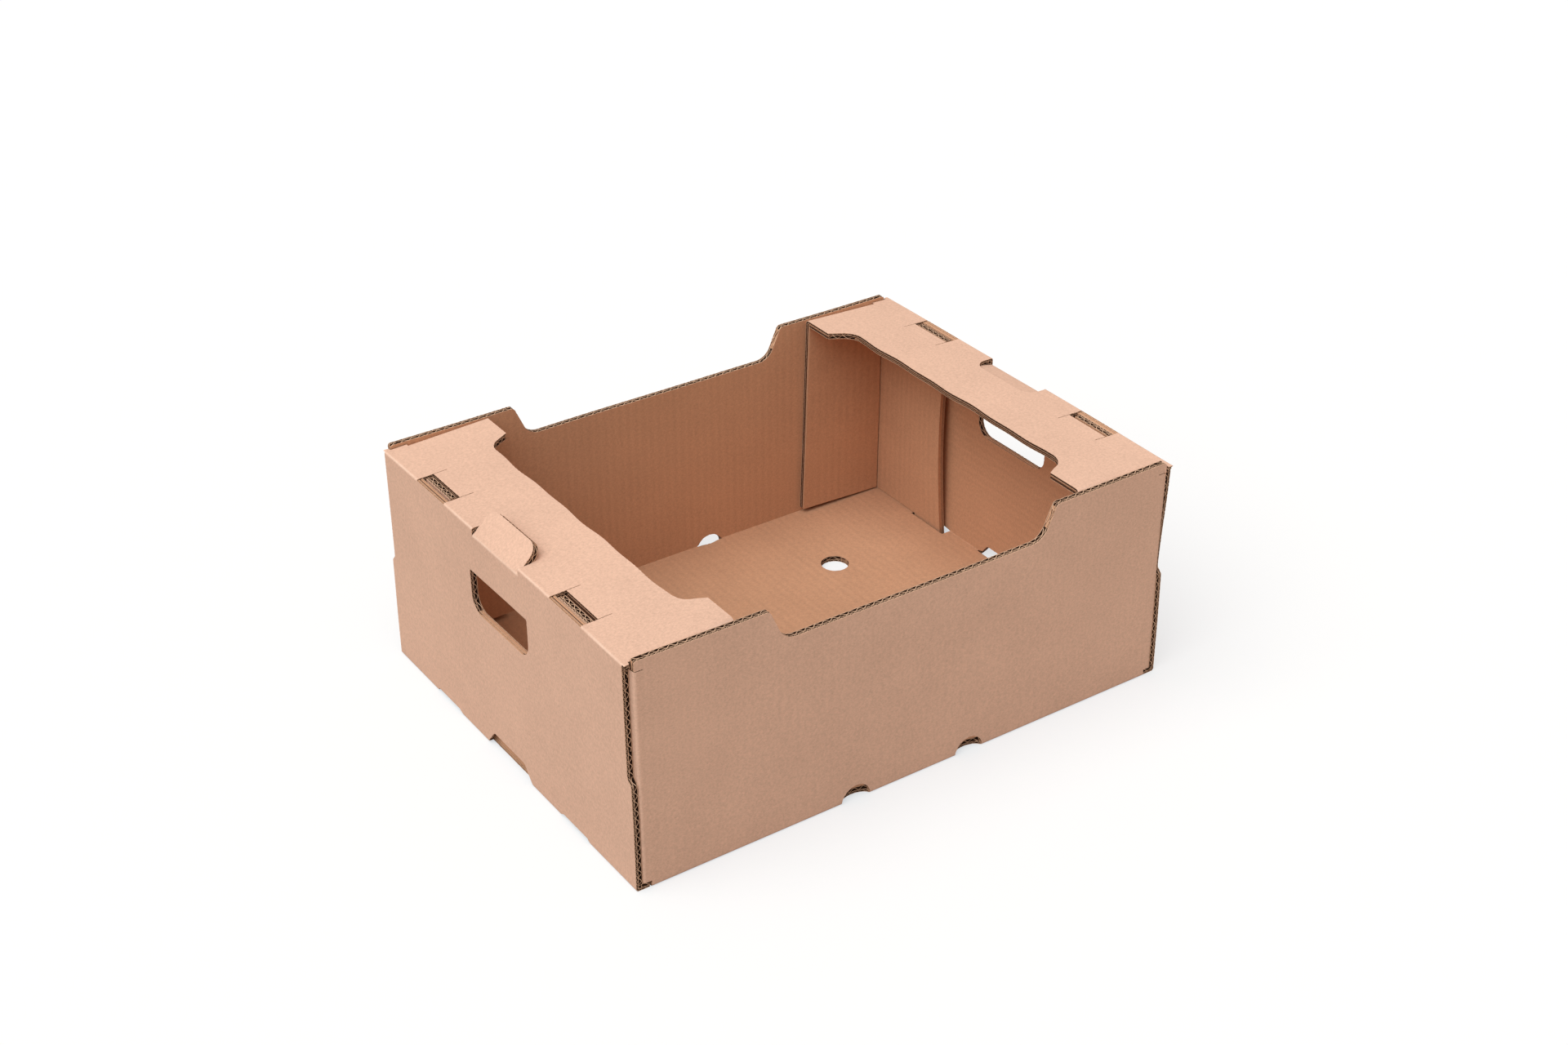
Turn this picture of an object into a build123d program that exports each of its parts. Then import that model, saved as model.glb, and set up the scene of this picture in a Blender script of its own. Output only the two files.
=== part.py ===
from build123d import *
from math import cos, radians, sin, tan
import os

# A stacking tray folded from one die-cut sheet of double-wall corrugated board.
# X runs along the long side, Z is up, and the origin is the middle of the base.
# The tray is alike about both centre planes, apart from how its flaps rest.

# Board and overall size
board = 4.5
length = 412.0
width = 313.0
ledge_top = 161.0
wall_top = 163.5

# Clearances between layers of board, round cut flaps and in creases
slip = 0.5
layer_gap = 1.5
kerf = 0.8
hinge_gap = 0.25

# Outer radii of the folds
fold_radius = 2.0
side_fold_radius = 3.0
corner_radius = 5.0

# Side walls: a long dip between two high ends
dip_depth = 23.5
dip_half = 109.0
dip_slope = 66.0
dip_radius = 13.0
dip_lip_radius = 3.5
wall_end_radius = 2.5

# End panels, set in from the side walls' faces, and further in above a jog in each cut edge
panel_inset = 1.2
jog_inset = 3.8
jog_height = 77.0
jog_rise = 4.0
jog_radius = 2.0

# Hand holes, and the flap folded in from each: a grip that dips from the panel's face, then a turn up
hand_width = 72.0
hand_bottom = 99.0
hand_top = 127.5
hand_radius = 11.0
grip_length = 15.8
grip_dip = 23.5
grip_radius = 3.0

# Stacking notches in the bottom edges of the end panels
notch_width = 60.0
notch_crown = 40.0
notch_height = 12.5
notch_radius = 4.0
notch_reach = 7.5

# Vents
side_vent_radius = 11.0
side_vent_place = 45.0
side_vent_reach = 6.0
floor_vent_radius = 10.25
floor_vent_x = 104.0
floor_vent_y = 75.0

# Corner flaps, their lugs and the slots that take them
flap_edge = 68.5
top_lug = 33.5
bottom_lug = 31.0
lug_play = 2.0
low_slot_play = 5.0
slot_play = 1.7
slot_rise = 3.0
lug_inset = 0.4

# Ledges, deeper at both ends, with a flap at each short side
ledge_depth = 59.0
shoulder_depth = 75.5
shoulder_half = 123.0
shoulder_radius = 14.0
shoulder_slope = 62.0
side_flap_root = 16.0
side_flap_flare = 4.5
side_flap_neck = 14.0
tongue_inset = 2.7
tongue_depth = 9.6
tongue_radius = 1.5

# Stacking tabs
tab_width = 56.0
tab_length = 25.0
tab_radius = 10.5
tab_drop = 5.0
raised_tab_angle = 45.0

# Faces and edges worked out from the sizes above
end_out = length / 2
end_in = end_out - board
side_out = width / 2
side_in = side_out - board
ledge_under = ledge_top - board
corner_out = end_in - layer_gap
corner_in = corner_out - board
bend_start = corner_out - corner_radius
panel_half_low = side_out - panel_inset
panel_half_high = panel_half_low - jog_inset
tongue_half = side_out - tongue_inset
flap_low = board + slip
flap_high = ledge_under - slip
side_flap_out = side_in - kerf
side_flap_low = board + kerf
slot_start = flap_edge - lug_play
top_slot_end = flap_edge + top_lug + lug_play
low_slot_start = flap_edge - low_slot_play
low_slot_end = flap_edge + bottom_lug + low_slot_play
slot_in = corner_in - slot_play
tab_root = ledge_top - tab_drop
window_half = tab_width / 2 + kerf
window_depth = tab_length + 2 * kerf
hand_height = hand_top - hand_bottom

# The ledge turns on the outermost line of its rounded fold
hinge_inset = fold_radius * (1 - cos(radians(45)))
hinge_x = end_out - hinge_inset
hinge_z = ledge_top - hinge_inset


# Tray body: one quarter of the folded sheet, mirrored about both centre planes
with BuildPart() as tray_body:
    # Floor
    with BuildSketch(Plane.XY):
        Rectangle(end_out, side_out, align=(Align.MIN, Align.MIN))
    extrude(amount=board)

    # Side wall, as far as the bend into the corner flap
    dip_height = wall_top - dip_depth
    dip_run = dip_depth / tan(radians(dip_slope))
    with BuildSketch(Plane.XZ.offset(-side_out)):
        with BuildLine():
            FilletPolyline(
                (0, 0),
                (0, dip_height),
                (dip_half - dip_run, dip_height),
                (dip_half, wall_top),
                (bend_start, wall_top),
                (bend_start, 0),
                radius=(0, 0, dip_radius, dip_lip_radius, wall_end_radius, 0),
                close=True,
            )
        make_face()
    extrude(amount=board)

    # Corner flap, bent from the end of the side wall and standing inside the end panel
    with BuildSketch(Plane.XY.offset(flap_low)):
        with BuildLine():
            FilletPolyline(
                (bend_start - board, side_out),
                (corner_out, side_out),
                (corner_out, flap_edge),
                (corner_in, flap_edge),
                (corner_in, side_in),
                (bend_start - board, side_in),
                radius=(0, corner_radius, 0, 0, corner_radius - board, 0),
                close=True,
            )
        make_face()
    extrude(amount=flap_high - flap_low)

    # End panel, with half of the hand hole
    with BuildSketch(Plane.YZ.offset(end_out)):
        with BuildLine():
            FilletPolyline(
                (0, 0),
                (panel_half_low, 0),
                (panel_half_low, jog_height),
                (panel_half_high, jog_height + jog_rise),
                (panel_half_high, ledge_under),
                (0, ledge_under),
                radius=(0, 0, jog_radius, jog_radius, 0, 0),
                close=True,
            )
        make_face()
    extrude(amount=-board)

    # Folds of the floor into the end panel and the side wall
    fillet(tray_body.edges().group_by(Axis.Z)[0].filter_by(Axis.X).sort_by(Axis.Y)[-1], fold_radius)
    fillet(tray_body.edges().group_by(Axis.Z)[0].filter_by(Axis.Y).sort_by(Axis.X)[-1], fold_radius)

    # The end panel's half of the fold into the ledge
    with BuildSketch(Plane.XZ.offset(-panel_half_high)):
        with BuildLine():
            ridge = CenterArc((end_out - fold_radius, ledge_top - fold_radius), fold_radius, 0, 45)
            Polyline(ridge @ 1, (end_in, ledge_under), (end_out, ledge_under), ridge @ 0)
        make_face()
    extrude(amount=panel_half_high - window_half)

    # Sill of the slot in that fold
    sill_y = (slot_start + top_slot_end) / 2
    sill_length = top_slot_end - slot_start - 2 * slip
    with BuildSketch(Plane.XY.offset(ledge_under)):
        with Locations(((end_in + end_out) / 2, sill_y)):
            Rectangle(board, sill_length)
    extrude(amount=hinge_z - ledge_under)

    # Bevel that the stacking tab folds against
    with BuildSketch(Plane.XZ.offset(-window_half)):
        with BuildLine():
            Polyline(
                (end_out, tab_root),
                (end_in, tab_root - board),
                (end_in, ledge_top),
                (end_out, ledge_top),
                close=True,
            )
        make_face()
    extrude(amount=window_half, mode=Mode.SUBTRACT)

    # Hand hole, and the bevel that its flap folds against
    with BuildSketch(Plane.YZ.offset(end_out)):
        with BuildLine():
            FilletPolyline(
                (0, hand_bottom),
                (hand_width / 2, hand_bottom),
                (hand_width / 2, hand_top),
                (0, hand_top),
                radius=(0, hand_radius, 0, 0),
                close=True,
            )
        make_face()
    extrude(amount=-board, mode=Mode.SUBTRACT)
    with BuildSketch(Plane.XZ.offset(-hand_width / 2)):
        with BuildLine():
            Polyline((end_out, hand_top), (end_in, hand_top + board), (end_in, hand_top), close=True)
        make_face()
    extrude(amount=hand_width / 2, mode=Mode.SUBTRACT)

    # Stacking notch, cut through the panel and into the edge of the floor
    with BuildSketch(Plane.YZ.offset(end_out)):
        with BuildLine():
            FilletPolyline(
                (0, 0),
                (notch_width / 2, 0),
                (notch_crown / 2, notch_height),
                (0, notch_height),
                radius=(0, 0, notch_radius, 0),
                close=True,
            )
        make_face()
    extrude(amount=-notch_reach, mode=Mode.SUBTRACT)

    # Slot for the bottom lug, from the floor round the fold into the end panel
    with BuildSketch(Plane.XZ.offset(-low_slot_end)):
        with BuildLine():
            Polyline(
                (slot_in, 0),
                (slot_in, flap_low),
                (end_in, flap_low),
                (end_in, slot_rise),
                (end_out, slot_rise),
                (end_out, 0),
                close=True,
            )
        make_face()
    extrude(amount=low_slot_end - low_slot_start, mode=Mode.SUBTRACT)

    # Lugs of the corner flap
    with BuildSketch(Plane.XY.offset(flap_high)):
        with Locations((corner_in, flap_edge)):
            Rectangle(board, top_lug, align=(Align.MIN, Align.MIN))
    extrude(amount=ledge_top - lug_inset - flap_high)
    with BuildSketch(Plane.XY.offset(lug_inset)):
        with Locations((corner_in, flap_edge)):
            Rectangle(board, bottom_lug, align=(Align.MIN, Align.MIN))
    extrude(amount=flap_low - lug_inset)

    # Half-round vent in the fold of the side wall
    with BuildSketch(Plane.XZ.offset(-side_out)):
        with Locations((side_vent_place, 0)):
            Circle(side_vent_radius)
    extrude(amount=side_vent_reach, mode=Mode.SUBTRACT)

    # Round vent in the floor
    with Locations((floor_vent_x, floor_vent_y, board)):
        Hole(floor_vent_radius, board)

    mirror(about=Plane.XZ)
    mirror(about=Plane.YZ)
tray_body.part.label = "tray_body"
export_step(tray_body.part, "parts/tray_body.step")


# Ledge over the right end: one half, mirrored
with BuildPart() as end_ledge_right:
    shoulder_in = end_out - shoulder_depth
    ledge_in = end_out - ledge_depth
    shoulder_run = (shoulder_depth - ledge_depth) / tan(radians(shoulder_slope))
    with BuildSketch(Plane.XY.offset(ledge_under)):
        with BuildLine():
            FilletPolyline(
                (end_out, window_half),
                (end_out, tongue_half),
                (end_out - tongue_depth, tongue_half),
                (end_out - tongue_depth, side_flap_out),
                (shoulder_in, side_flap_out),
                (shoulder_in, shoulder_half),
                (ledge_in, shoulder_half - shoulder_run),
                (ledge_in, 0),
                (end_out - window_depth, 0),
                (end_out - window_depth, window_half),
                radius=(0, 0, tongue_radius, 0, 0, 0, shoulder_radius, 0, 0, tab_radius + kerf),
                close=True,
            )
        make_face()
    extrude(amount=board)

    # Side flap, hanging inside the side wall
    with BuildSketch(Plane.XZ.offset(-side_flap_out)):
        with BuildLine():
            Polyline(
                (shoulder_in, ledge_top),
                (end_out - side_flap_root, ledge_top),
                (end_out - side_flap_root, ledge_under),
                (corner_in - kerf, ledge_under - side_flap_neck),
                (corner_in - kerf, side_flap_low),
                (shoulder_in - side_flap_flare, side_flap_low),
                close=True,
            )
        make_face()
    extrude(amount=board)

    # Rounded folds, the side flap's first
    side_fold = end_ledge_right.edges().group_by(Axis.Z)[-1].filter_by(Axis.X)
    fillet(side_fold.filter_by_position(Axis.Y, side_flap_out - slip, side_flap_out + slip), side_fold_radius)
    fillet(end_ledge_right.edges().group_by(Axis.Z)[-1].filter_by(Axis.Y).sort_by(Axis.X)[-1], fold_radius)

    # Slot for the corner flap's top lug
    with BuildSketch(Plane.XY.offset(ledge_under)):
        with Locations((slot_in, slot_start)):
            Rectangle(end_out - slot_in, top_slot_end - slot_start, align=(Align.MIN, Align.MIN))
    extrude(amount=board, mode=Mode.SUBTRACT)

    # Mitre along the fold
    with BuildSketch(Plane.XZ.offset(-tongue_half)):
        with BuildLine():
            Polyline(
                (end_in - 2 * hinge_gap, ledge_under),
                (end_out, ledge_under),
                (end_out, ledge_top),
                (end_out - 2 * hinge_gap, ledge_top),
                close=True,
            )
        make_face()
    extrude(amount=tongue_half, mode=Mode.SUBTRACT)
    mirror(about=Plane.XZ)
end_ledge_right.part.label = "end_ledge_right"
export_step(end_ledge_right.part, "parts/end_ledge_right.step")

with BuildPart() as end_ledge_left:
    mirror(end_ledge_right.part, about=Plane.YZ)
end_ledge_left.part.label = "end_ledge_left"
export_step(end_ledge_left.part, "parts/end_ledge_left.step")


def stacking_tab(angle):
    """The tab over the right end, at an angle above level."""
    root = (end_out, 0, tab_root)
    outward = (-cos(radians(angle)), 0, sin(radians(angle)))
    with BuildPart() as tab:
        with BuildSketch(Plane(root, x_dir=outward, z_dir=(0, 1, 0))):
            with BuildLine():
                Polyline(
                    (2 * hinge_gap, 0),
                    (tab_length, 0),
                    (tab_length, -board),
                    (board + 2 * hinge_gap, -board),
                    close=True,
                )
            make_face()
        extrude(amount=tab_width / 2, both=True)
        corners = tab.faces().sort_by(Axis(root, outward))[-1].edges().sort_by(Axis.Y)
        fillet((corners[0], corners[-1]), tab_radius)
    return tab.part


# Stacking tabs: the right one lies pressed into the ledge, the left one stands half up
with BuildPart() as stacking_tab_right:
    add(stacking_tab(0))
stacking_tab_right.part.label = "stacking_tab_right"
export_step(stacking_tab_right.part, "parts/stacking_tab_right.step")

with BuildPart() as stacking_tab_left:
    mirror(stacking_tab(raised_tab_angle), about=Plane.YZ)
stacking_tab_left.part.label = "stacking_tab_left"
export_step(stacking_tab_left.part, "parts/stacking_tab_left.step")


# Handle flap, folded in from the top of the right hand hole and turned up at its middle
with BuildPart() as handle_flap_right:
    inward = Vector(-cos(radians(grip_dip)), -sin(radians(grip_dip)))
    across = Vector(-sin(radians(grip_dip)), cos(radians(grip_dip)))
    root = Vector(end_out, hand_top) + inward * hinge_gap
    bevel = root + (inward + across) * board
    grip_end = Vector(end_out, hand_top) + inward * grip_length
    flap_top = grip_end.Y + hand_height - grip_length
    elbow_x = grip_end.X + board
    elbow_z = bevel.Y - (bevel.X - elbow_x) * tan(radians(grip_dip))
    with BuildSketch(Plane.XZ):
        with BuildLine():
            FilletPolyline(
                (root.X, root.Y),
                (grip_end.X, grip_end.Y),
                (grip_end.X, flap_top),
                (elbow_x, flap_top),
                (elbow_x, elbow_z),
                (bevel.X, bevel.Y),
                radius=(0, grip_radius, 0, 0, 0, 0),
                close=True,
            )
        make_face()
    flap_half = hand_width / 2 - slip
    extrude(amount=-flap_half)

    # Rounded corner of the turned-up edge
    with BuildSketch(Plane.YZ.offset(grip_end.X)):
        with Locations((flap_half - hand_radius, flap_top - hand_radius)):
            Rectangle(hand_radius, hand_radius, align=(Align.MIN, Align.MIN))
            Circle(hand_radius, mode=Mode.SUBTRACT)
    extrude(amount=board, mode=Mode.SUBTRACT)
    mirror(about=Plane.XZ)
handle_flap_right.part.label = "handle_flap_right"
export_step(handle_flap_right.part, "parts/handle_flap_right.step")

with BuildPart() as handle_flap_left:
    mirror(handle_flap_right.part, about=Plane.YZ)
handle_flap_left.part.label = "handle_flap_left"
export_step(handle_flap_left.part, "parts/handle_flap_left.step")
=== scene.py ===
from math import ceil, cos, pi, radians, sin, tan

import bpy
import numpy as np
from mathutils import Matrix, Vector
from mathutils.geometry import delaunay_2d_cdt


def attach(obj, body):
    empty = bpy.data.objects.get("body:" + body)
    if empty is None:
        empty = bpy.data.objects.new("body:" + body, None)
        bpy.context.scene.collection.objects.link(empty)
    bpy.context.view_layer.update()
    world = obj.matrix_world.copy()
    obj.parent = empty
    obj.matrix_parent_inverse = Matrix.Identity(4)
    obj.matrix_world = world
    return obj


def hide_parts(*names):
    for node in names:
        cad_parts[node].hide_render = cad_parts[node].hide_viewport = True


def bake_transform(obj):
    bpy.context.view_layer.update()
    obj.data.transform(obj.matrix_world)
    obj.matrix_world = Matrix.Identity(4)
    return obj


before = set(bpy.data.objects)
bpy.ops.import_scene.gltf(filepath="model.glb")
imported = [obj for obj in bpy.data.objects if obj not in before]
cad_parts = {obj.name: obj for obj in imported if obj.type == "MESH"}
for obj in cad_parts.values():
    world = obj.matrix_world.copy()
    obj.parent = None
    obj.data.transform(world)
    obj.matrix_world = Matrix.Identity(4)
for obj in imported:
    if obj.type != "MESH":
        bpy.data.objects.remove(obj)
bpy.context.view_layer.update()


# ---------------------------------------------------------------------------
# Kraft paper. The board's outer face is a dusty, pinkish brown with fine fibres in it.
# The inner face is warmer and darker, and shows the flutes under it as faint washboard lines.
# ---------------------------------------------------------------------------
def shade(red, green, blue):
    """A colour as it is seen, as the light that it reflects."""
    return tuple(((c / 255 + 0.055) / 1.055) ** 2.4 for c in (red, green, blue)) + (1,)


def node_group(name, inputs, outputs):
    """A shader node group, with (label, value) for each input and a label for each output."""
    group = bpy.data.node_groups.new(name, "ShaderNodeTree")
    for label, value in inputs:
        socket = group.interface.new_socket(
            label, in_out="INPUT", socket_type="NodeSocketFloat",
        )
        socket.default_value = value
    for label in outputs:
        group.interface.new_socket(label, in_out="OUTPUT", socket_type="NodeSocketFloat")
    given = group.nodes.new("NodeGroupInput").outputs
    result = group.nodes.new("NodeGroupOutput").inputs
    return group, given, result


def add_node(tree, kind, links=(), **values):
    """A node with its values set and its inputs joined: links are (input, what feeds it)."""
    node = tree.nodes.new(kind)
    for name, value in values.items():
        setattr(node, name, value)
    for place, source in dict(links).items():
        if isinstance(source, bpy.types.NodeSocket):
            tree.links.new(source, node.inputs[place])
        else:
            node.inputs[place].default_value = source
    return node


def calc(tree, operation, *values, **options):
    """What one math node works out."""
    links = dict(enumerate(values))
    return add_node(tree, "ShaderNodeMath", links, operation=operation, **options).outputs[0]


def noise(tree, place, scale, detail, roughness):
    """Random values round a half, which change smoothly from place to place."""
    return add_node(
        tree, "ShaderNodeTexNoise",
        {"Vector": place, "Scale": scale, "Detail": detail, "Roughness": roughness},
    ).outputs["Fac"]


def remapped(tree, value, old, new):
    """A value moved from its old range to a new one, and kept inside it."""
    links = {"Value": value, "From Min": old[0], "From Max": old[1]}
    links.update({"To Min": new[0], "To Max": new[1]})
    return add_node(tree, "ShaderNodeMapRange", links).outputs[0]


def paper_fibres():
    """Fibre specks, soft clouding and washboard lines: a tint round 1, and a height."""
    group, given, result = node_group(
        "paper_fibres",
        [
            ("Specks", 0.1),
            ("Mottle", 0.5),
            ("Clouding", 0.1),
            ("Washboard", 0.1),
            ("Flute Pitch", 0.0063),
        ],
        ["Tint", "Height", "Specks"],
    )
    dark_fleck = -0.18
    net = add_node(group, "ShaderNodeUVMap", uv_map="net").outputs["UV"]
    place = add_node(group, "ShaderNodeTexCoord").outputs["Object"]

    def drawn_out(*scale):
        return add_node(group, "ShaderNodeMapping", {"Vector": net, "Scale": scale}).outputs[0]

    # Fibres lie across the flutes, so the specks are stretched that way
    fine = noise(group, drawn_out(520, 1500, 1), 1.0, 3.0, 0.7)
    flecks = noise(group, drawn_out(330, 760, 1), 1.0, 1.0, 0.5)
    dark = remapped(group, flecks, (0.66, 0.78), (0.0, 1.0))
    mottle = noise(group, place, 560.0, 4.0, 0.7)
    soft = noise(group, place, 26.0, 4.0, 0.6)
    broad = noise(group, place, 7.0, 2.0, 0.5)

    # Washboard: a wave across the net, stronger in some places than in others
    along_net = add_node(group, "ShaderNodeSeparateXYZ", {"Vector": net}).outputs["X"]
    turns = calc(group, "DIVIDE", along_net, given["Flute Pitch"])
    wave = calc(group, "SINE", calc(group, "MULTIPLY", turns, 2 * pi))
    bands = noise(group, drawn_out(60, 9, 1), 1.0, 2.0, 0.6)
    strength = remapped(group, bands, (0.35, 0.7), (0.25, 1.0))
    lines = calc(group, "MULTIPLY", calc(group, "MULTIPLY", wave, strength), given["Washboard"])

    def centred(value, weight):
        return calc(group, "MULTIPLY", calc(group, "SUBTRACT", value, 0.5), weight)

    def total(sum_so_far, *parts):
        for part in parts:
            sum_so_far = calc(group, "ADD", sum_so_far, part)
        return sum_so_far

    tint = total(
        1.0,
        centred(fine, given["Specks"]),
        centred(mottle, given["Mottle"]),
        calc(group, "MULTIPLY", calc(group, "MULTIPLY", dark, given["Specks"]), dark_fleck),
        centred(soft, given["Clouding"]),
        centred(broad, given["Clouding"]),
        lines,
    )
    height = total(centred(mottle, 0.8), centred(fine, 0.6), centred(soft, 0.6), lines)
    for label, value in (("Tint", tint), ("Height", height), ("Specks", fine)):
        group.links.new(value, result[label])
    return group


def rub_and_highlight_along_folds():
    """Rubbed paper and a painted highlight along the folds, from the crease attribute, broken up
    by noise.
    """
    group, given, result = node_group("rub_and_highlight_along_folds", [("Amount", 0.5)], ["Mask"])
    fold = add_node(group, "ShaderNodeAttribute", attribute_name="crease").outputs["Fac"]
    place = add_node(group, "ShaderNodeTexCoord").outputs["Object"]
    patchy = noise(group, place, 90.0, 3.0, 0.6)
    rubbed_and_highlit = calc(group, "MULTIPLY", fold, remapped(group, patchy, (0.3, 0.65), (0.35, 1.0)))
    mask = calc(group, "MULTIPLY", rubbed_and_highlit, given["Amount"], use_clamp=True)
    group.links.new(mask, result["Mask"])
    return group


fibres = paper_fibres()
rub_and_highlight_nodes = rub_and_highlight_along_folds()


def kraft(name, colour, rub_and_highlight_colour, specks, clouding, washboard, fold_rub_and_highlight, roughness, bump):
    """A sheet of kraft paper in one shade."""
    material = bpy.data.materials.new(name)
    material.use_nodes = True
    tree = material.node_tree
    surface = tree.nodes["Principled BSDF"]
    surface.inputs["Specular IOR Level"].default_value = 0.25
    grain = add_node(
        tree, "ShaderNodeGroup",
        {"Specks": specks, "Clouding": clouding, "Washboard": washboard}, node_tree=fibres,
    ).outputs
    # The fold mask: rubbed paper and a painted highlight along the creases
    rubs_and_highlights = add_node(tree, "ShaderNodeGroup", {"Amount": fold_rub_and_highlight}, node_tree=rub_and_highlight_nodes).outputs
    paper = add_node(
        tree, "ShaderNodeVectorMath",
        {0: colour[:3], "Scale": grain["Tint"]}, operation="SCALE",
    ).outputs[0]
    # Inputs 6 and 7 of the mix node are its two colours, and output 2 is the mixed one
    shown = add_node(
        tree, "ShaderNodeMix",
        {"Factor": rubs_and_highlights["Mask"], 6: paper, 7: rub_and_highlight_colour}, data_type="RGBA",
    ).outputs[2]
    spread = 0.08
    rough = remapped(tree, grain["Specks"], (0.0, 1.0), (roughness - spread, roughness + spread))
    relief = add_node(
        tree, "ShaderNodeBump",
        {"Height": grain["Height"], "Strength": bump, "Distance": 0.0002},
    ).outputs[0]
    for label, source in (("Base Color", shown), ("Roughness", rough), ("Normal", relief)):
        tree.links.new(source, surface.inputs[label])
    return material


# The second colour of each paper is the lighter one along its folds: rubbed paper and a painted
# highlight
outer_kraft = kraft(
    "outer_kraft", shade(220, 178, 153), shade(238, 206, 184),
    specks=0.42, clouding=0.14, washboard=0.012, fold_rub_and_highlight=0.6, roughness=0.82, bump=0.45,
)
inner_kraft = kraft(
    "inner_kraft", shade(199, 149, 115), shade(214, 174, 144),
    specks=0.34, clouding=0.16, washboard=0.036, fold_rub_and_highlight=0.35, roughness=0.78, bump=0.45,
)
cut_edge = kraft(
    "cut_edge", shade(208, 168, 138), shade(224, 190, 164),
    specks=0.6, clouding=0.4, washboard=0.0, fold_rub_and_highlight=0.3, roughness=0.9, bump=0.6,
)
# The fluting is painted far darker than its brown paper: painted shade inside the flutes' cells
# and between the liners
fluting_in_painted_shade = kraft(
    "fluting_in_painted_shade", shade(76, 46, 28), shade(150, 106, 74),
    specks=0.4, clouding=0.3, washboard=0.0, fold_rub_and_highlight=0.0, roughness=0.9, bump=0.5,
)


# ---------------------------------------------------------------------------
# Double-wall board, 4.5 mm thick: three flat liners with a fine and a coarse wavy sheet
# glued between them. It is cut flat: s runs across the flutes, v along them, w into the board.
# ---------------------------------------------------------------------------
# Each liner: the depths where it starts and ends
liners = ((0.0, 0.35), (1.5, 1.85), (4.15, 4.5))
# Each wavy sheet: middle depth, height, pitch and paper
wavy_sheets = ((0.925, 0.85, 3.15, 0.3), (3.0, 1.9, 6.3, 0.42))
shallowest_flute, deepest_flute = 0.36, 4.14
strips_in_flute = 8
# How far behind a cut the flutes are made, and how far in the flute that closes it lies
edge_reach = 3.2
edge_crush, ledge_crush = 0.2, 0.9
# Distances between points on a cut line, rows in a liner and rows in a wavy sheet
cut_step, sheet_step, strip_step = 1.3, 12.0, 10.0
tightest_bend = 0.3
# How wide the band of rubbed paper and painted highlight along each fold is
rub_and_highlight_width = 0.7
# Material slots: outer_kraft, inner_kraft, cut_edge and, between the liners, the fluting paper,
# painted dark as shade
outer_slot, inner_slot, edge_slot, hidden_slot = range(4)
ragged = 0.09
chance = np.random.default_rng(7)
ragged_waves = [
    (chance.uniform(0.4, 2.6, 2) * chance.choice((-1, 1), 2), chance.uniform(0, 2 * pi, 4))
    for _ in range(5)
]


def bend(d, w, angle, radius, reach):
    """Folds board at d = 0. Gives how far each point is along the first panel, and how far
    off its outer face."""
    slope = tan(angle / 2)
    inner = np.maximum(radius - w, tightest_bend)
    leg = reach - (w + inner) * slope
    arc = inner * angle
    along = (np.clip(d, -reach, reach) + reach) / (2 * reach) * (2 * leg + arc)
    turned = np.clip((along - leg) / inner, 0, angle)
    first = np.minimum(along, leg)
    last = np.maximum(along - leg - arc, 0) + np.maximum(d - reach, 0)
    p = np.minimum(d + reach, 0) + first - reach + inner * np.sin(turned) + last * cos(angle)
    q = w + inner * (1 - np.cos(turned)) + last * sin(angle)
    return p, q


def cut_line(corners, closed=False):
    """Points along a cut line of corners (s, v) or (s, v, radius)."""
    turns = []
    count = len(corners)
    for i, corner in enumerate(corners):
        here = np.array(corner[:2], float)
        if len(corner) == 2:
            turns.append([here])
            continue
        radius = corner[2]
        before = np.array(corners[i - 1][:2], float) - here
        after = np.array(corners[(i + 1) % count][:2], float) - here
        before, after = before / np.linalg.norm(before), after / np.linalg.norm(after)
        half = np.arccos(np.clip(before @ after, -1, 1)) / 2
        centre = here + (before + after) / np.linalg.norm(before + after) * radius / sin(half)
        a = here + before * radius / tan(half) - centre
        b = here + after * radius / tan(half) - centre
        sweep = pi - 2 * half
        steps = max(3, ceil(sweep * radius / cut_step))
        turns.append([
            centre + (sin((1 - t) * sweep) * a + sin(t * sweep) * b) / sin(sweep)
            for t in np.linspace(0, 1, steps + 1)
        ])
    runs = [p for turn in turns for p in turn]
    if closed:
        runs.append(runs[0])
    points = []
    for a, b in zip(runs[:-1], runs[1:]):
        steps = max(1, ceil(np.linalg.norm(b - a) / cut_step - 1e-6))
        points += [a + (b - a) * k / steps for k in range(steps)]
    if not closed:
        points.append(runs[-1])
    return np.array(points)


def inside(loops, points):
    """Which points are in the board."""
    hit = np.zeros(len(points), bool)
    batch = 2000
    for loop in loops:
        a, b = loop, np.roll(loop, -1, 0)
        for part in range(0, len(points), batch):
            s, v = points[part:part + batch, :1], points[part:part + batch, 1:]
            crossing = (a[:, 1] > v) != (b[:, 1] > v)
            with np.errstate(divide="ignore", invalid="ignore"):
                at = a[:, 0] + (v - a[:, 1]) * (b[:, 0] - a[:, 0]) / (b[:, 1] - a[:, 1])
            hit[part:part + batch] ^= (crossing & (s < at)).sum(1) % 2 == 1
    return hit


def crossings(loops, s):
    """Where the line at s goes in and out of the board."""
    found = []
    for loop in loops:
        a, b = loop, np.roll(loop, -1, 0)
        cut = (a[:, 0] > s) != (b[:, 0] > s)
        a, b = a[cut], b[cut]
        found.append(a[:, 1] + (s - a[:, 0]) * (b[:, 1] - a[:, 1]) / (b[:, 0] - a[:, 0]))
    return np.sort(np.concatenate(found))


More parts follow.
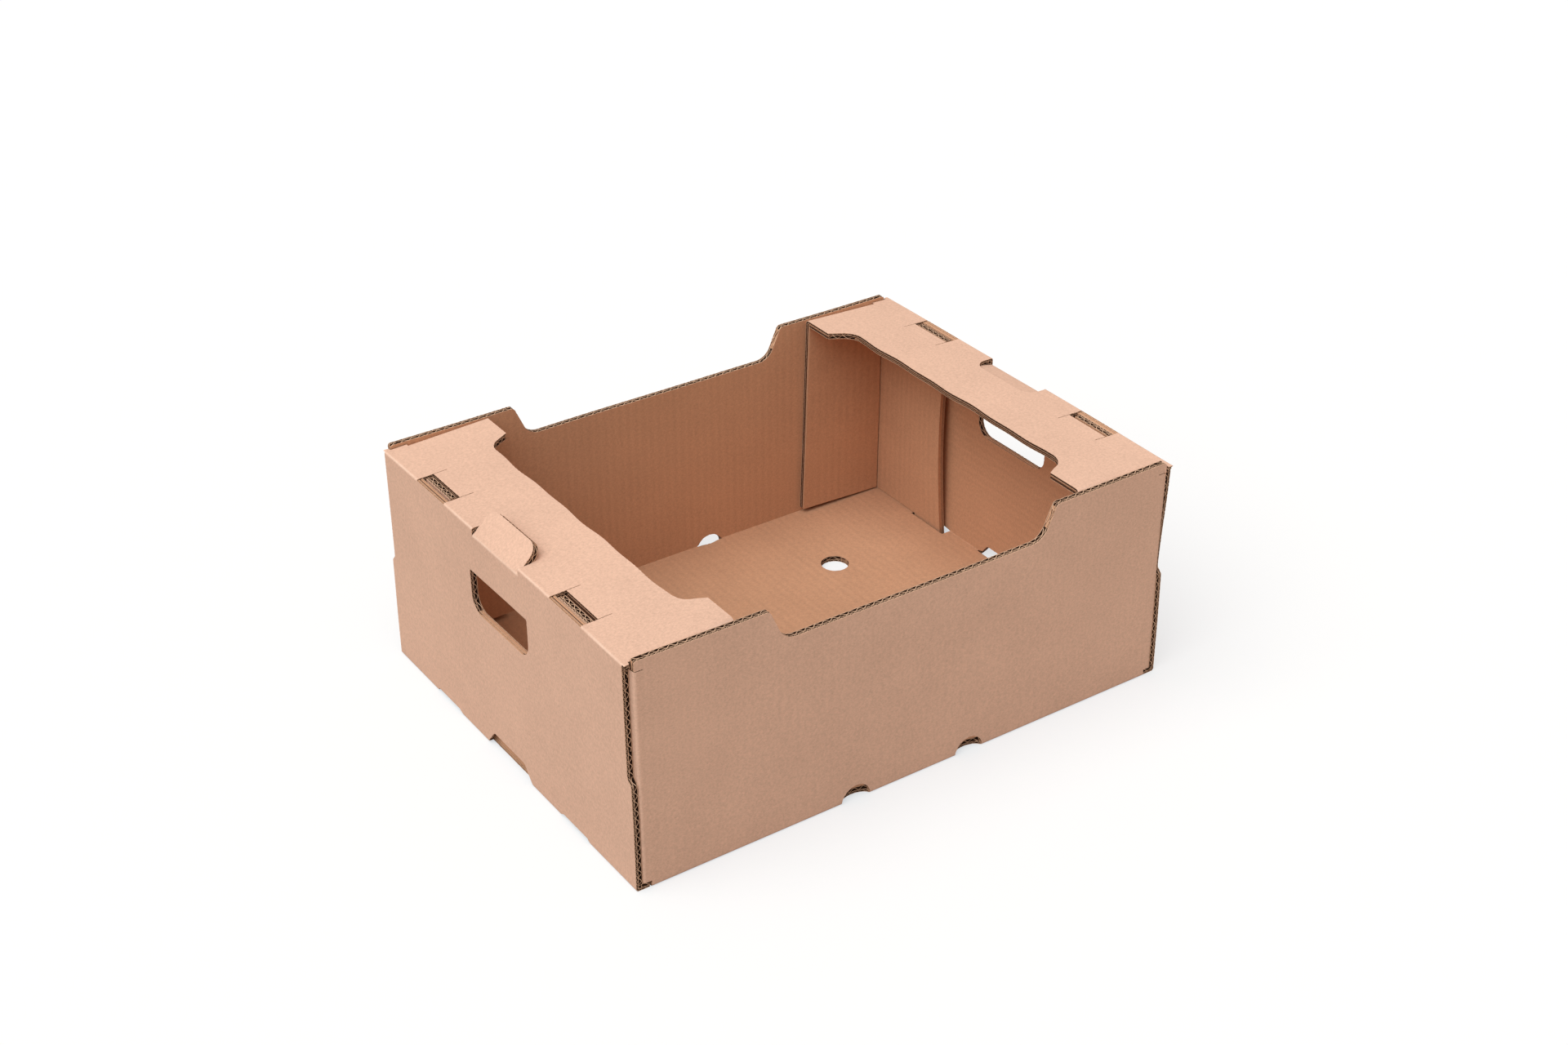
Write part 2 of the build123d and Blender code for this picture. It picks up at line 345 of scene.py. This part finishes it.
def flat_sheet(loops, rows_s, rows_v):
    """Triangles that fill the cut lines, and keep to the rows on both sides of every fold."""
    row_gap, point_gap = 0.05, 0.4
    points, edges = [], []
    for loop in loops:
        first, n = len(points), len(loop)
        points += [tuple(p) for p in loop]
        edges += [(first + i, first + (i + 1) % n) for i in range(n)]
    for rows, others, flip in ((rows_s, rows_v, 1), (rows_v, rows_s, -1)):
        turned = [loop[:, ::flip] for loop in loops]
        for row in rows:
            # A row that runs along a cut line is there already
            off_row = [np.abs(loop[:, 0] - row) for loop in turned]
            if any((np.maximum(off, np.roll(off, 1)) < row_gap).any() for off in off_row):
                continue
            spans = crossings(turned, row)
            for low, high in zip(spans[::2], spans[1::2]):
                between = others[(others > low + point_gap) & (others < high - point_gap)]
                stops = (low + row_gap, *between, high - row_gap)
                edges += [(len(points) + i, len(points) + i + 1) for i in range(len(stops) - 1)]
                points += [(row, stop)[::flip] for stop in stops]
    made = delaunay_2d_cdt([Vector(p) for p in points], edges, [], 0, 1e-4)
    flat = np.array([tuple(p) for p in made[0]])
    faces = np.array(made[2])
    corners = flat[faces]
    faces = faces[inside(loops, corners.mean(1))]
    corners = flat[faces]
    one, two = corners[:, 1] - corners[:, 0], corners[:, 2] - corners[:, 0]
    wrong = one[:, 0] * two[:, 1] - one[:, 1] * two[:, 0] < 0
    faces[wrong] = faces[wrong][:, ::-1]
    return flat, faces


def rim_of(faces):
    """Edges that only one triangle has, with the board on their left."""
    edges = np.concatenate([faces[:, (0, 1)], faces[:, (1, 2)], faces[:, (2, 0)]])
    both = {tuple(e) for e in edges.tolist()}
    return np.array([e for e in edges.tolist() if (e[1], e[0]) not in both])


def fray(s, v, layer):
    """The die's cut is never quite clean, and each liner tears a little differently."""
    ds, dv = np.zeros_like(s), np.zeros_like(s)
    for i, (pace, phase) in enumerate(ragged_waves):
        turn = np.abs(s) * pace[0] + v * pace[1] + phase[layer] + i
        ds += np.sin(turn) * ragged / 2
        dv += np.cos(turn * 1.3 + phase[3]) * ragged / 2
    return s + ds * np.sign(s), v + dv


def mesh_object(name, points, faces, net, materials, slots, crease):
    """An object in the scene, with the flat net as its UV map and the folds as an attribute."""
    mesh = bpy.data.meshes.new(name)
    mesh.from_pydata((points / 1000).tolist(), [], faces)
    for material in materials:
        mesh.materials.append(material)
    mesh.polygons.foreach_set("material_index", slots)
    layer = mesh.uv_layers.new(name="net")
    corner = np.zeros(len(mesh.loops), int)
    mesh.loops.foreach_get("vertex_index", corner)
    layer.data.foreach_set("uv", (net[corner] / 1000).ravel().astype(np.float32))
    attribute = mesh.attributes.new("crease", "FLOAT", "POINT")
    attribute.data.foreach_set("value", crease.astype(np.float32))
    mesh.polygons.foreach_set("use_smooth", [True] * len(mesh.polygons))
    mesh.set_sharp_from_angle(angle=radians(38))
    mesh.update()
    made = bpy.data.objects.new(name, mesh)
    bpy.context.scene.collection.objects.link(made)
    return made


def lined_board(
    name, loops, rows_s, rows_v, shape, creases, mirrored=False, crushed=edge_crush,
):
    """The three liners of a piece of board, cut to the loops and folded to its shape. A cut
    along the flutes is closed by the flute that the die crushed there, a little way in."""
    flat, faces = flat_sheet(loops, rows_s, rows_v)
    rim = rim_of(faces)
    points, polygons, net, slots = [], [], [], []
    for layer, depths in enumerate(liners):
        low = sum(len(p) for p in points)
        high = low + len(flat)
        s, v = fray(flat[:, 0], flat[:, 1], layer)
        for depth in depths:
            points.append(np.stack(shape(s, v, np.full_like(s, depth)), 1))
            net.append(flat)
        under, over = faces[:, ::-1] + low, faces + high
        sides = np.stack([rim[:, 0] + low, rim[:, 1] + low, rim[:, 1] + high, rim[:, 0] + high], 1)
        polygons += under.tolist() + over.tolist() + sides.tolist()
        slots += [outer_slot if layer == 0 else hidden_slot] * len(under)
        slots += [inner_slot if layer == 2 else hidden_slot] * len(over)
        slots += [edge_slot] * len(sides)
    along = np.abs(flat[rim[:, 1]] - flat[rim[:, 0]])
    for a, b in rim[along[:, 1] > 2 * along[:, 0]]:
        step = (flat[b] - flat[a]) / np.linalg.norm(flat[b] - flat[a])
        back = np.array([-step[1], step[0]])
        for top, bottom in ((liners[0][1], liners[1][0]), (liners[1][1], liners[2][0])):
            base = sum(len(p) for p in points)
            ends = np.array([flat[a] + back * crushed, flat[b] + back * crushed])
            ends = np.concatenate([ends, ends])
            depths = np.array([top, top, bottom, bottom])
            points.append(np.stack(shape(ends[:, 0], ends[:, 1], depths), 1))
            net.append(ends)
            polygons.append([base, base + 1, base + 3, base + 2])
            slots.append(inner_slot)
    if mirrored:
        polygons = [p[::-1] for p in polygons]
    net = np.concatenate(net)
    # Along each fold the paper is lighter: rubbed paper and a painted highlight
    fold_rub_and_highlight = np.zeros(len(net))
    for fold in creases:
        fold_rub_and_highlight = np.maximum(fold_rub_and_highlight, np.exp(-(fold(net[:, 0], net[:, 1]) / rub_and_highlight_width) ** 2))
    papers = (outer_kraft, inner_kraft, cut_edge, fluting_in_painted_shade)
    return mesh_object(name, np.concatenate(points), polygons, net, papers, slots, fold_rub_and_highlight)


def edge_strips(loops, rows_v, pace):
    """Flat strips just inside every cut edge, in columns across the flutes."""
    first_column, last_column = 0.13, 0.1
    end_gap, row_gap = 0.15, 0.3
    shortest, widest_jump = 1.5, 6
    every = np.concatenate(loops)
    columns = np.arange(every[:, 0].min() + first_column, every[:, 0].max() - last_column, pace)
    spans = [crossings(loops, s) for s in columns]
    even_rows = np.arange(every[:, 1].min() - 1, every[:, 1].max() + 1, strip_step)
    rows = np.unique(np.concatenate([rows_v, even_rows]))
    fine = np.arange(rows[0], rows[-1], 1.0)
    full = np.zeros((len(columns), len(fine)), bool)
    for i, span in enumerate(spans):
        for low, high in zip(span[::2], span[1::2]):
            full[i] |= (fine > low) & (fine < high)
    # A place is near an edge where the board doesn't fill the square of its reach
    wide, tall = ceil(edge_reach / pace), ceil(edge_reach)
    padded = np.pad(full, ((wide, wide), (tall, tall)))
    total = np.pad(padded.cumsum(0).cumsum(1), ((1, 0), (1, 0)))
    w, t = 2 * wide + 1, 2 * tall + 1
    around = total[w:, t:] - total[:-w, t:] - total[w:, :-t] + total[:-w, :-t]
    edge = full & (around < w * t)
    points, index, quads = [], {}, []

    def corner(i, v):
        key = (i, round(v, 2))
        if key not in index:
            index[key] = len(points)
            points.append((columns[i], v, 0))
        return index[key]

    for i in range(len(columns) - 1):
        one, two = spans[i], spans[i + 1]
        if len(one) != len(two) or np.abs(one - two).max(initial=0) > widest_jump:
            continue
        for low1, high1, low2, high2 in zip(one[::2], one[1::2], two[::2], two[1::2]):
            if min(high1 - low1, high2 - low2) < shortest:
                continue
            low1, high1 = low1 + end_gap, high1 - end_gap
            low2, high2 = low2 + end_gap, high2 - end_gap
            inner = (rows > max(low1, low2) + row_gap) & (rows < min(high1, high2) - row_gap)
            stops1, stops2 = [low1, *rows[inner], high1], [low2, *rows[inner], high2]
            for k in range(len(stops1) - 1):
                near = (fine >= stops1[k] - 1) & (fine <= stops1[k + 1] + 1)
                if edge[i:i + 2, near].any():
                    quads.append((
                        corner(i, stops1[k]), corner(i + 1, stops2[k]),
                        corner(i + 1, stops2[k + 1]), corner(i, stops1[k + 1]),
                    ))
    return points, quads


def fluting_tree():
    """Waves a flat strip, and gives it the paper's thickness."""
    tree = bpy.data.node_groups.new("fluting", "GeometryNodeTree")
    tree.interface.new_socket("Strips", in_out="INPUT", socket_type="NodeSocketGeometry")
    for name in ("Depth", "Height", "Pitch", "Paper"):
        tree.interface.new_socket(name, in_out="INPUT", socket_type="NodeSocketFloat")
    tree.interface.new_socket("Material", in_out="INPUT", socket_type="NodeSocketMaterial")
    tree.interface.new_socket("Fluting", in_out="OUTPUT", socket_type="NodeSocketGeometry")
    given = tree.nodes.new("NodeGroupInput").outputs
    result = tree.nodes.new("NodeGroupOutput").inputs
    place = add_node(tree, "GeometryNodeInputPosition").outputs[0]
    split = add_node(tree, "ShaderNodeSeparateXYZ", {0: place}).outputs
    turns = calc(tree, "DIVIDE", split["X"], given["Pitch"])
    wave = calc(tree, "SINE", calc(tree, "MULTIPLY", turns, 2 * pi))
    swing = calc(tree, "MULTIPLY", given["Height"], 0.5)
    depth = calc(tree, "MULTIPLY_ADD", wave, swing, given["Depth"])
    waved = add_node(
        tree, "ShaderNodeCombineXYZ", {0: split["X"], 1: split["Y"], 2: depth},
    ).outputs[0]
    sheet = add_node(
        tree, "GeometryNodeSetPosition", {"Geometry": given["Strips"], "Position": waved},
    ).outputs[0]
    thick = add_node(
        tree, "GeometryNodeExtrudeMesh",
        {"Mesh": sheet, "Offset Scale": given["Paper"], "Individual": False}, mode="FACES",
    ).outputs["Mesh"]
    back = add_node(tree, "GeometryNodeFlipFaces", {"Mesh": sheet}).outputs[0]
    both = tree.nodes.new("GeometryNodeJoinGeometry")
    tree.links.new(thick, both.inputs[0])
    tree.links.new(back, both.inputs[0])
    merged = add_node(
        tree, "GeometryNodeMergeByDistance", {"Geometry": both.outputs[0], "Distance": 0.001},
    ).outputs[0]
    real = add_node(tree, "GeometryNodeRealizeInstances", {"Geometry": merged}).outputs[0]
    dressed = add_node(
        tree, "GeometryNodeSetMaterial", {"Geometry": real, "Material": given["Material"]},
    ).outputs[0]
    tree.links.new(dressed, result["Fluting"])
    return tree


fluting = fluting_tree()


def fluted_edges(name, loops, rows_v, shape, mirrored=False):
    """The wavy sheets that show in a piece's cut edges, folded with it."""
    points, polygons, slots = [], [], []
    for depth, height, pitch, paper in wavy_sheets:
        strips, quads = edge_strips(loops, rows_v, pitch / strips_in_flute)
        mesh = bpy.data.meshes.new("strips")
        mesh.from_pydata(strips, [], quads)
        flat = bpy.data.objects.new("strips", mesh)
        bpy.context.scene.collection.objects.link(flat)
        modifier = flat.modifiers.new("fluting", "NODES")
        modifier.node_group = fluting
        # The wavy sheets take the fluting paper, painted dark as the shade in the cells
        sizes = {
            "Depth": depth - paper / 2, "Height": height, "Pitch": pitch, "Paper": paper,
            "Material": fluting_in_painted_shade,
        }
        for item in fluting.interface.items_tree:
            if item.in_out == "INPUT" and item.name in sizes:
                modifier[item.identifier] = sizes[item.name]
        seen = flat.evaluated_get(bpy.context.evaluated_depsgraph_get())
        waved = bpy.data.meshes.new_from_object(seen)
        base = sum(len(p) for p in points)
        co = np.zeros(len(waved.vertices) * 3, np.float32)
        waved.vertices.foreach_get("co", co)
        points.append(co.reshape(-1, 3).astype(float))
        polygons += [tuple(base + i for i in p.vertices) for p in waved.polygons]
        # Slot 1 is the paper's own cut edge, which faces along the flutes
        slots += [int(abs(p.normal.y) > 0.5) for p in waved.polygons]
        bpy.data.objects.remove(flat)
    net = np.concatenate(points)
    depths = np.clip(net[:, 2], shallowest_flute, deepest_flute)
    folded = np.stack(shape(net[:, 0], net[:, 1], depths), 1)
    if mirrored:
        polygons = [p[::-1] for p in polygons]
    papers = (fluting_in_painted_shade, cut_edge)
    return mesh_object(name, folded, polygons, net[:, :2], papers, slots, np.zeros(len(net)))


# ---------------------------------------------------------------------------
# Tray. Floor, side walls, corner flaps and end panels are one sheet: the side walls fold up
# and their ends turn in behind the end panels, held by lugs in slots at top and bottom.
# ---------------------------------------------------------------------------
end_out, side_out = 206.0, 156.5
ledge_top = 161.0
# The corner flaps turn at flap_face, past a slit that frees them from the side wall's foot
flap_face, slit = 200.0, 196.0
# Each fold: angle, inner radius, and how far from the crease the board is flat again
end_fold = (radians(90), 2.0, 6.0)
side_fold = (radians(90), 2.0, 5.0)
corner_fold = (radians(90), 5.0, 7.0)
# The near wall's corners are pressed further out, and squarer
near_press, near_radius = 1.2, 1.8
# The ear on each corner stays flat past ear_cut, and each corner flap bellies inwards
ear_cut, ear_end = 312.8, 204.0
flap_belly = 4.0
# How far the ends are lifted, the near edge of the right one is shifted, and the walls wander
left_lift, right_lift = 1.6, 0.9
near_edge_shift = 4.3
end_wander, wall_wander = 0.25, 0.2
wall_bow, wall_lean = 0.5, 0.7
fold_rows = np.array([-6, -4.5, -3, -2, -1.5, -1, -0.5, 0, 0.5, 1, 1.5, 2, 3, 4.5, 6])
round_rows = np.array([
    -7, -5.5, -4.5, -3.75, -3, -2.25, -1.5, -0.75, 0, 0.75, 1.5, 2.25, 3, 3.75, 4.5, 5.5, 7,
])


def eased(value, low, high):
    """From 0 at low to 1 at high, smooth at both ends."""
    t = np.clip((value - low) / (high - low), 0, 1)
    return t * t * (3 - 2 * t)


def settled(x, y, z):
    """The folded sheet isn't flat: its ends are pulled up a little in the middle, its walls
    wander, and the right end panel covers the near wall's end."""
    lift = np.where(x < 0, left_lift, right_lift) * (1 - (y / side_out) ** 2)
    z = z + lift * eased(np.abs(x), 120, 195) * eased(z, 60, 150)
    y = y - near_edge_shift * eased(x, 200.6, 202) * eased(-y, 130, 150) * eased(z, 75, 165)
    wander = end_wander * np.sin(y / 31 + z / 47)
    x = x + wander * eased(np.abs(x), 150, 195) * eased(z, 5, 60)
    bow = wall_bow * np.cos(x / 75) - wall_lean
    y = y + np.sign(y) * bow * eased(np.abs(y), 110, 145) * eased(z, 5, 90)
    wander = wall_wander * np.sin(x / 23 + z / 37)
    y = y + wander * eased(np.abs(y), 140, 150) * eased(z, 5, 60)
    return x, y, z


def tray_shape(s, v, w):
    """Folds the tray's net, first round the floor's edges and then round the walls' ends."""
    a, b = np.abs(s), np.abs(v)
    # Floor and end panel
    along, off = bend(a - end_out, w, *end_fold)
    x, y, z = end_out + along, b.copy(), off
    # Side wall, and the corner flap round its end
    p, q = bend(b - side_out, w, *side_fold)
    p, q = np.where(a < slit, p, -w), np.where(a < slit, q, b - side_out)
    wall = np.where(a < slit, b > side_out - 5, b > side_out - 0.4)
    x = np.where(wall, a, x)
    y = np.where(wall, side_out + p, y)
    z = np.where(wall, q, z)
    angle, radius, reach = corner_fold
    face = np.where(v < 0, flap_face + near_press, flap_face)
    round_x, round_q = bend(a - face, w, angle, np.where(v < 0, near_radius, radius), reach)
    # How far the corner's turn counts: all on the flap, none on the ear above it
    share = np.where(a < slit, eased(b, side_out - 5, side_out + 5), 1) * wall
    ear = (b > ear_cut) & (a < ear_end)
    share = np.where(ear, 0, share * (1 - eased(b, 303, ear_cut) * (1 - eased(a, 195, 199))))
    x = x + share * (face + round_x - a)
    y = y - share * (round_q - w)
    half_turn = pi * np.clip(z / ledge_top, 0, 1)
    x = x - wall * flap_belly * eased(a, 225, 290) * np.sin(half_turn)
    return settled(x * np.sign(s), y * np.sign(v), z)


def mirrored_both(path):
    """A closed loop from the path of one quarter, which runs from v = 0 to s = 0."""
    flip = path[::-1]
    return np.concatenate([
        path[:-1], (flip * (-1, 1))[:-1], (path * (-1, -1))[:-1], (flip * (1, -1))[:-1],
    ])


tray_loops = [mirrored_both(cut_line([
    (356, 0), (356, 28.8), (361, 28.8), (361, 66.5), (366.3, 66.5), (366.3, 104), (361, 104),
    (361, 151.5), (287, 151.5, 1.5), (283, 155.3, 1.5), (196.4, 155.3), (196.4, 150.7),
    (195.6, 150.7), (195.6, 161.5), (257, 161.5), (257, 156.9), (288, 156.9), (288, 317.1),
    (254.5, 317.1), (254.5, 312.5), (195.2, 312.5), (195.2, 313.1), (200.9, 313.1),
    (200.9, 320, 1.6), (109, 320, 3.5), (98.6, 296.5, 13), (0, 296.5),
]))]
grip_crease = 333.5
hand_hole = cut_line([
    (305, -36, 11), (305, 36, 11), (grip_crease, 36), (grip_crease, 35.5), (339.5, 35.5),
    (339.5, -35.5), (grip_crease, -35.5), (grip_crease, -36),
], closed=True)
stacking_notch = cut_line([
    (202.3, -30), (206, -30), (218.5, -20, 4), (218.5, 20, 4), (206, 30), (202.3, 30),
], closed=True)
lug_slot = cut_line([
    (193.8, 63.5), (193.8, 101.3), (206, 101.3), (209, 98), (209, 69), (206, 63.5),
], closed=True)
turn = np.linspace(0, 2 * pi, 48, endpoint=False)
floor_vent = np.stack([104 + 10.25 * np.cos(turn), 75 + 10.25 * np.sin(turn)], 1)
side_vent_out = np.where(turn < pi, 11, 6) * np.sin(turn)
side_vent = np.stack([45 + 11 * np.cos(turn), side_out + side_vent_out], 1)
for s in (1, -1):
    tray_loops += [hand_hole * (s, 1), stacking_notch * (s, 1)]
    for v in (1, -1):
        tray_loops += [lug_slot * (s, v), floor_vent * (s, v), side_vent * (s, v)]

half_rows_s = np.concatenate([
    np.arange(6, 192, sheet_step), end_out + fold_rows, flap_face + round_rows,
    np.arange(216, 356, sheet_step), grip_crease + fold_rows[8:],
])
half_rows_v = np.concatenate([
    np.arange(6, 150, sheet_step), side_out + fold_rows[1:-1], np.arange(165, 320, sheet_step),
])
tray_rows_s = np.unique(np.concatenate([-half_rows_s, half_rows_s]))
tray_rows_v = np.unique(np.concatenate([-half_rows_v, half_rows_v]))
# How far a point is from each crease, or too far to show where the crease doesn't run
tray_creases = [
    lambda s, v: np.where(np.abs(v) < 155.5, np.abs(s) - end_out, 9),
    lambda s, v: np.where(np.abs(s) < slit, np.abs(v) - side_out, 9),
]
tray_board = lined_board(
    "tray_board", tray_loops, tray_rows_s, tray_rows_v, tray_shape, tray_creases,
)
tray_fluting = fluted_edges("tray_fluting", tray_loops, tray_rows_v, tray_shape)
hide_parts("tray_body")
for piece in (tray_board, tray_fluting):
    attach(piece, "tray")


# ---------------------------------------------------------------------------
# Ledges. Each end panel carries on over the top as a level ledge, creased along its edge.
# It is deeper at both ends, where a side flap hangs from it inside the side wall.
# ---------------------------------------------------------------------------
ledge_fold = (radians(90), 1.4, 6.0)
hang_fold = (radians(90), 3.0, 6.0)
crease_s, hang_v = 367.0, 151.2
# The ledge rises a little from its crease to its inner edge, and that edge is wavy
level_part, sloping_part = 5.0, 54.0
ledge_rise, edge_wobble = 2.3, 0.8


def ledge_shape(side):
    """Folds a ledge inwards over its end of the tray."""
    def shape(s, v, w):
        up, inward = bend(s - crease_s, w, *ledge_fold)
        rise = ledge_rise * np.clip(inward - level_part, 0, None) / sloping_part
        wobble = edge_wobble * np.sin(v / 8.5 + side) * np.sin(v / 29 + 2)
        inward = inward + wobble * eased(s, 412, 426) * eased(118 - np.abs(v), 0, 10)
        return settled(side * (end_out - inward), v.copy(), ledge_top + up + rise)
    return shape


def side_flap_shape(side):
    """Folds a side flap down from its ledge."""
    def shape(s, v, w):
        out, down = bend(np.abs(v) - hang_v, w, *hang_fold)
        rise = ledge_rise * (s - crease_s - level_part) / sloping_part
        x, y = side * (end_out - (s - crease_s)), (hang_v + out) * np.sign(v)
        return settled(x, y, ledge_top - down + rise)
    return shape


outer_path = cut_line([
    (361, 28.8), (361, 66.5), (366.3, 66.5), (388.7, 66.5), (388.7, 67), (379.2, 67),
    (379.2, 103.5), (388.7, 103.5), (388.7, 104), (366.3, 104), (361, 104), (361, 151.5),
    (367, 151.5), (367, 153.8), (371, 153.8, 1.2), (371, 151.2), (383, 151.2), (383, 145.2),
    (442.5, 145.2), (442.5, 123), (426, 114.2, 14), (426, 0),
])
window_path = cut_line([(383.9, 0), (383.9, 28.8, 9.5), (361, 28.8)])
half_loop = [window_path[:-1], outer_path[:-1]]
other_half = [outer_path[::-1] * (1, -1), window_path[::-1] * (1, -1)]
ledge_loop = np.concatenate(half_loop + [path[:-1] for path in other_half])
ledge_rows_s = np.concatenate([crease_s + fold_rows, np.arange(380, 442, sheet_step)])
ledge_rows_v = np.arange(-150, 151, sheet_step)
ledge_creases = [lambda s, v: s - crease_s]
flap_path = cut_line([
    (383, 145.2), (442.5, 145.2), (442.5, 156), (447, 306.9), (378.3, 306.9), (378.3, 169.7),
    (383, 155.7),
], closed=True)
flap_rows_s = np.arange(384, 446, sheet_step)
flap_rows_v = np.concatenate([hang_v + fold_rows, np.arange(168, 306, sheet_step)])
flap_creases = [lambda s, v: np.abs(v) - hang_v]
for side, end in ((1, "right"), (-1, "left")):
    shape = ledge_shape(side)
    top = lined_board(
        f"ledge_{end}_board", [ledge_loop], ledge_rows_s, ledge_rows_v, shape, ledge_creases,
        mirrored=side < 0, crushed=ledge_crush,
    )
    wavy = fluted_edges(f"ledge_{end}_fluting", [ledge_loop], ledge_rows_v, shape, side < 0)
    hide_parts(f"end_ledge_{end}")
    for piece in (top, wavy):
        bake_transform(piece)
    shape = side_flap_shape(side)
    for v, place in ((1, "far"), (-1, "near")):
        name = f"side_flap_{end}_{place}"
        loops = [flap_path * (1, v)]
        rows_v = flap_rows_v * v
        flap = lined_board(
            name, loops, flap_rows_s, rows_v, shape, flap_creases,
            mirrored=side < 0, crushed=ledge_crush,
        )
        wavy = fluted_edges(f"{name}_fluting", loops, rows_v, shape, side < 0)
        for piece in (flap, wavy):
            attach(piece, f"ledge_{end}")


# ---------------------------------------------------------------------------
# Stacking tabs. A tongue cut out of each ledge stays on the end panel: the right one lies
# nearly level in its window, and the left one stands half up, as under a stacked tray.
# ---------------------------------------------------------------------------
tab_crease, tab_height = 362.0, 156.0
root_half, tab_half, tab_radius = 28.65, 28.2, 9


def tab_shape(side, angle):
    """Folds a tab inwards from the end panel's top edge."""
    fold = (radians(angle), 2.0, 6.0)

    def shape(s, v, w):
        up, inward = bend(s - tab_crease, w, *fold)
        return settled(side * (end_out - inward), v.copy(), tab_height + up)
    return shape


tab_rows_s = np.concatenate([tab_crease + fold_rows, np.arange(374, 386, 6)])
tab_rows_v = np.arange(-27, 28, 6.0)
tab_creases = [lambda s, v: s - tab_crease]
for side, end, angle, tab_end in ((1, "right", 77, 380.0), (-1, "left", 45, 383.4)):
    tab_loop = cut_line([
        (356, -root_half), (356, root_half), (361.5, root_half), (364, tab_half),
        (tab_end, tab_half, tab_radius), (tab_end, -tab_half, tab_radius),
        (364, -tab_half), (361.5, -root_half),
    ], closed=True)
    shape = tab_shape(side, angle)
    tab = lined_board(
        f"tab_{end}_board", [tab_loop], tab_rows_s, tab_rows_v, shape, tab_creases, side < 0,
    )
    wavy = fluted_edges(f"tab_{end}_fluting", [tab_loop], tab_rows_v, shape, side < 0)
    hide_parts(f"stacking_tab_{end}")
    for piece in (tab, wavy):
        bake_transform(piece)


# ---------------------------------------------------------------------------
# Handle flaps. The board cut free in each hand hole is folded in from its top edge, and turned
# up again half way, so that the hand lifts on a double, rounded edge.
# ---------------------------------------------------------------------------
hand_top = 127.5
grip_length = 15.8
grip_dip = radians(23.5)
first_turn, second_turn = pi / 2 - grip_dip, pi / 2 + grip_dip


def handle_shape(side):
    """Folds a handle flap in from the hand hole's top, and up again at its middle."""
    def shape(s, v, w):
        d = grip_crease - s
        down, inward = bend(d, w, first_turn, 2.0, 6.0)
        p, q = bend(d - grip_length, w, second_turn, 3.0, 7.6)
        beyond = d > grip_length / 2
        on, off = cos(first_turn), sin(first_turn)
        down = np.where(beyond, (grip_length + p) * on - q * off, down)
        inward = np.where(beyond, (grip_length + p) * off + q * on, inward)
        return settled(side * (end_out - inward), v.copy(), hand_top - down)
    return shape


handle_loop = cut_line([
    (339.5, -35.5), (339.5, 35.5), (305, 35.5, 11), (305, -35.5, 11),
], closed=True)
handle_rows_s = np.unique(np.round(np.concatenate([
    grip_crease + fold_rows, grip_crease - grip_length + fold_rows, [308, 311],
]), 2))
handle_rows_v = np.arange(-33, 34, 6.0)
handle_creases = [
    lambda s, v: s - grip_crease,
    lambda s, v: s - (grip_crease - grip_length),
]
for side, end in ((1, "right"), (-1, "left")):
    shape = handle_shape(side)
    flap = lined_board(
        f"handle_{end}_board", [handle_loop], handle_rows_s, handle_rows_v, shape,
        handle_creases, side < 0,
    )
    wavy = fluted_edges(f"handle_{end}_fluting", [handle_loop], handle_rows_v, shape, side < 0)
    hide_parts(f"handle_flap_{end}")
    for piece in (flap, wavy):
        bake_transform(piece)


# ---------------------------------------------------------------------------
# Studio. A plain white floor under soft light from above and from the left end, and a camera
# that looks down along the near long side.
# ---------------------------------------------------------------------------
def white_floor():
    """White paper, made a little paler where the camera looks at it."""
    material = bpy.data.materials.new("white_floor")
    material.use_nodes = True
    tree = material.node_tree
    surface = tree.nodes["Principled BSDF"]
    surface.inputs["Base Color"].default_value = (0.41, 0.365, 0.33, 1)
    surface.inputs["Roughness"].default_value = 0.9
    surface.inputs["Specular IOR Level"].default_value = 0.1
    surface.inputs["Emission Color"].default_value = (0.88, 0.95, 1, 1)
    seen = add_node(tree, "ShaderNodeLightPath").outputs["Is Camera Ray"]
    tree.links.new(calc(tree, "MULTIPLY", seen, 0.6), surface.inputs["Emission Strength"])
    return material


floor_mesh = bpy.data.meshes.new("floor")
floor_mesh.from_pydata([(-8, -8, 0), (8, -8, 0), (8, 8, 0), (-8, 8, 0)], [], [(0, 1, 2, 3)])
floor_mesh.materials.append(white_floor())
floor = bpy.data.objects.new("floor", floor_mesh)
bpy.context.scene.collection.objects.link(floor)

world = bpy.data.worlds.new("studio")
bpy.context.scene.world = world
world.use_nodes = True
sky = world.node_tree
background = sky.nodes["Background"]
background.inputs["Color"].default_value = (1, 0.88, 0.8, 1)
# The backdrop is brighter to the camera than the light that it gives
seen = add_node(sky, "ShaderNodeLightPath").outputs["Is Camera Ray"]
level = remapped(sky, seen, (0.0, 1.0), (0.55, 1.0))
sky.links.new(level, background.inputs["Strength"])

softbox_data = bpy.data.lights.new("softbox", "SUN")
softbox_data.energy = 2.8
softbox_data.angle = radians(66)
softbox_data.color = (0.84, 0.94, 1)
softbox = bpy.data.objects.new("softbox", softbox_data)
softbox.rotation_euler = Vector((0.5, 0.12, -0.86)).to_track_quat("-Z", "Y").to_euler()
bpy.context.scene.collection.objects.link(softbox)

camera_data = bpy.data.cameras.new("camera")
camera_data.lens = 53.594
camera_data.sensor_width = 36
camera = bpy.data.objects.new("camera", camera_data)
camera.location = (-0.7451, -1.0999, 0.9001)
camera.rotation_euler = (radians(59.2897), radians(0.1538), radians(-34.4827))
bpy.context.scene.collection.objects.link(camera)
bpy.context.scene.camera = camera
bpy.context.scene.view_settings.view_transform = "Standard"
